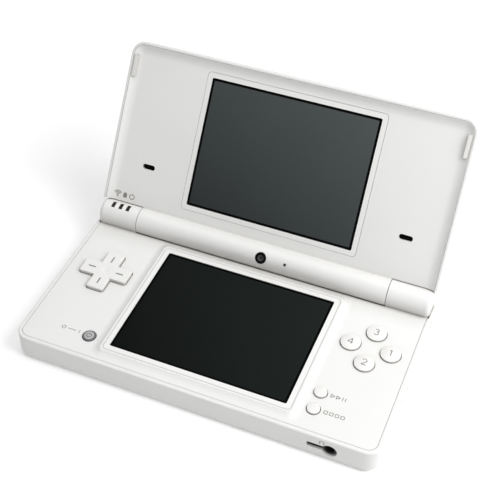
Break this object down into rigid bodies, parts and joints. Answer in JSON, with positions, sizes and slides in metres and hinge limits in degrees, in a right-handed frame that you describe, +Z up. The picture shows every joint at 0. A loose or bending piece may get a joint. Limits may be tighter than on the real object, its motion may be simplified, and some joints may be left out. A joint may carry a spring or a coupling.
{
  "type": "clamshell handheld game console",
  "caption": "Pocket game console that folds shut on a hinge, with a screen in each half, a direction pad, push buttons, a stylus and card slots.",
  "frame": {"origin": "centre of the base's underside, on the surface that it rests on", "axes": "+X to the player's right along the hinge, +Y from the front edge to the hinge, +Z up"},
  "size_m": [0.1374, 0.1115, 0.0717],
  "materials": {
    "casing": "matte",
    "screen_frame": "gloss",
    "screen": "gloss",
    "upper_glass": "gloss",
    "key": "satin",
    "power_key": "matte",
    "rubber_grey": "matte",
    "bumper": "matte",
    "dark_plastic": "matte",
    "circuit_board": "satin",
    "battery_wrap": "matte",
    "display_module": "gloss",
    "steel": "brushed",
    "ribbon": "satin",
    "camera_glass": "gloss"
  },
  "bodies": {
    "base": {"lower_case": "casing", "base_top_cover": "casing", "touch_frame": "screen_frame", "touch_panel": "screen", "lower_display": "display_module", "main_board": "circuit_board", "battery_pack": "battery_wrap", "battery_cover": "casing", "battery_cover_screws": "steel", "case_screws": "steel", "led_light_guide": "dark_plastic", "game_card_socket": "steel", "memory_card_socket": "steel", "headphone_socket": "dark_plastic", "charging_socket": "dark_plastic", "stylus_sleeve": "rubber_grey", "dpad_membrane": "rubber_grey", "button_membrane": "rubber_grey", "small_button_membrane": "rubber_grey", "power_switch": "steel", "shoulder_springs": "steel", "shoulder_switches": "dark_plastic", "volume_switch": "dark_plastic", "wireless_board": "circuit_board", "hinge_clutch": "steel", "hinge_pin": "steel", "display_ribbon": "ribbon"},
    "lid": {"lid_outer_cover": "casing", "lid_inner_cover": "casing", "upper_lens": "upper_glass", "upper_display": "display_module", "speaker_left": "dark_plastic", "speaker_right": "dark_plastic", "inner_camera_lens": "camera_glass", "inner_camera_module": "dark_plastic", "outer_camera_lens": "camera_glass", "outer_camera_module": "dark_plastic", "microphone": "steel", "lid_bumpers": "bumper", "lid_screws": "steel", "lid_magnet": "steel"},
    "dpad_pivot": {"dpad_pivot": "rubber_grey"},
    "dpad": {"dpad": "key"},
    "button_right": {"button_right": "key"},
    "button_bottom": {"button_bottom": "key"},
    "button_top": {"button_top": "key"},
    "button_left": {"button_left": "key"},
    "start_button": {"start_button": "key"},
    "select_button": {"select_button": "key"},
    "power_button": {"power_button": "power_key"},
    "shoulder_left": {"shoulder_left": "key"},
    "shoulder_right": {"shoulder_right": "key"},
    "volume_rocker": {"volume_rocker": "key"},
    "memory_card_door": {"memory_card_door": "casing"},
    "stylus": {"stylus": "key"}
  },
  "joints": [
    {"name": "lid_hinge", "type": "hinge", "parent": "base", "child": "lid", "pos_m": [0, 0.0319, 0.0135], "axis": [1, 0, 0], "range_deg": [-31, 124]},
    {"name": "dpad_rock_y", "type": "hinge", "parent": "base", "child": "dpad_pivot", "pos_m": [-0.0519, 0.003, 0.00813], "axis": [1, 0, 0], "range_deg": [-3, 3], "stiffness_Nm_per_rad": 0.05},
    {"name": "dpad_rock_x", "type": "hinge", "parent": "dpad_pivot", "child": "dpad", "pos_m": [-0.0519, 0.003, 0.00813], "axis": [0, 1, 0], "range_deg": [-3, 3], "stiffness_Nm_per_rad": 0.05},
    {"name": "button_right_press", "type": "slide", "parent": "base", "child": "button_right", "axis": [0, 0, -1], "range_m": [0, 0.0007], "stiffness_N_per_m": 400},
    {"name": "button_bottom_press", "type": "slide", "parent": "base", "child": "button_bottom", "axis": [0, 0, -1], "range_m": [0, 0.0007], "stiffness_N_per_m": 400},
    {"name": "button_top_press", "type": "slide", "parent": "base", "child": "button_top", "axis": [0, 0, -1], "range_m": [0, 0.0007], "stiffness_N_per_m": 400},
    {"name": "button_left_press", "type": "slide", "parent": "base", "child": "button_left", "axis": [0, 0, -1], "range_m": [0, 0.0007], "stiffness_N_per_m": 400},
    {"name": "start_press", "type": "slide", "parent": "base", "child": "start_button", "axis": [0, 0, -1], "range_m": [0, 0.0005], "stiffness_N_per_m": 400},
    {"name": "select_press", "type": "slide", "parent": "base", "child": "select_button", "axis": [0, 0, -1], "range_m": [0, 0.0005], "stiffness_N_per_m": 400},
    {"name": "power_press", "type": "slide", "parent": "base", "child": "power_button", "axis": [0, 0, -1], "range_m": [0, 0.0005], "stiffness_N_per_m": 400},
    {"name": "shoulder_left_press", "type": "hinge", "parent": "base", "child": "shoulder_left", "pos_m": [-0.0494, 0.03435, 0.0056], "axis": [0, 0, 1], "range_deg": [0, 2], "stiffness_Nm_per_rad": 0.3},
    {"name": "shoulder_right_press", "type": "hinge", "parent": "base", "child": "shoulder_right", "pos_m": [0.0494, 0.03435, 0.0056], "axis": [0, 0, -1], "range_deg": [0, 2], "stiffness_Nm_per_rad": 0.3},
    {"name": "volume_rock", "type": "hinge", "parent": "base", "child": "volume_rocker", "pos_m": [-0.0654, -0.001, 0.006], "axis": [0, 0, 1], "range_deg": [-2, 2], "stiffness_Nm_per_rad": 0.1},
    {"name": "memory_card_door_hinge", "type": "hinge", "parent": "base", "child": "memory_card_door", "pos_m": [0.0677, 0.0227, 0.0045], "axis": [0, 0, 1], "range_deg": [0, 90]},
    {"name": "stylus_slide", "type": "slide", "parent": "base", "child": "stylus", "axis": [1, 0, 0], "range_m": [0, 0.089]}
  ]
}
